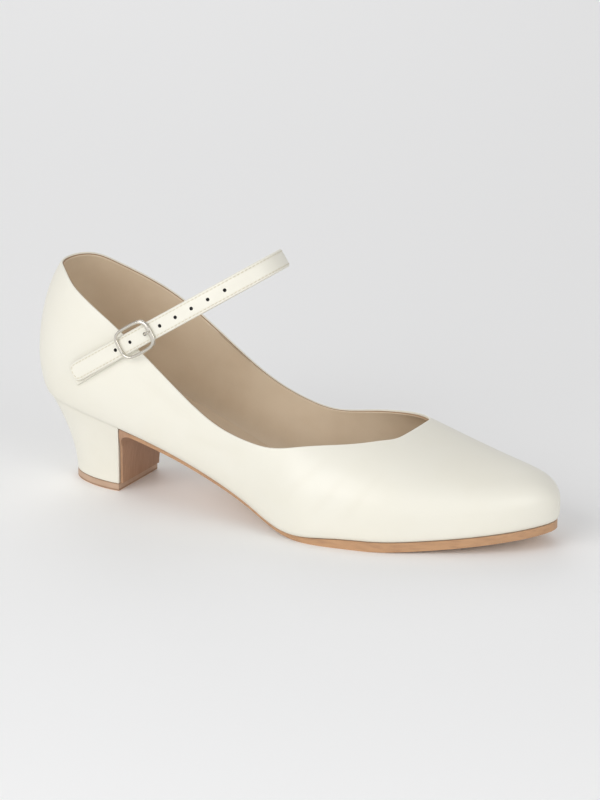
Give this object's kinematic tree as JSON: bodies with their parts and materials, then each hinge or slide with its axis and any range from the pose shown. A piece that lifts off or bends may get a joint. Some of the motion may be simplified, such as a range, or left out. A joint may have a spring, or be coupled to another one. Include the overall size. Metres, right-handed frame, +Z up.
{
  "type": "character shoe",
  "caption": "Ivory leather character shoe for the right foot, a court shoe with a buckled instep strap and a covered heel.",
  "frame": {"origin": "on the floor, in the middle of the flat underside of the heel's top piece", "axes": "+X towards the toe, +Y towards the inner (medial) side, +Z up"},
  "size_m": [0.243, 0.0814, 0.1137],
  "materials": {
    "ivory_leather": "smooth ivory leather, softly glossy and lightly creased",
    "lining_leather": "matt beige lining leather",
    "sole_leather": "tan leather sole, matt, with a brown edge",
    "top_piece": "pale beige top piece with a brown edge",
    "buckle_metal": "polished silver metal"
  },
  "bodies": {
    "root": {"upper": "ivory_leather", "insole": "lining_leather", "outsole": "sole_leather", "heel": "ivory_leather", "top_lift": "top_piece", "strap": "ivory_leather", "buckle_strap": "ivory_leather", "buckle_frame": "buckle_metal", "buckle_prong": "buckle_metal"}
  },
  "joints": []
}
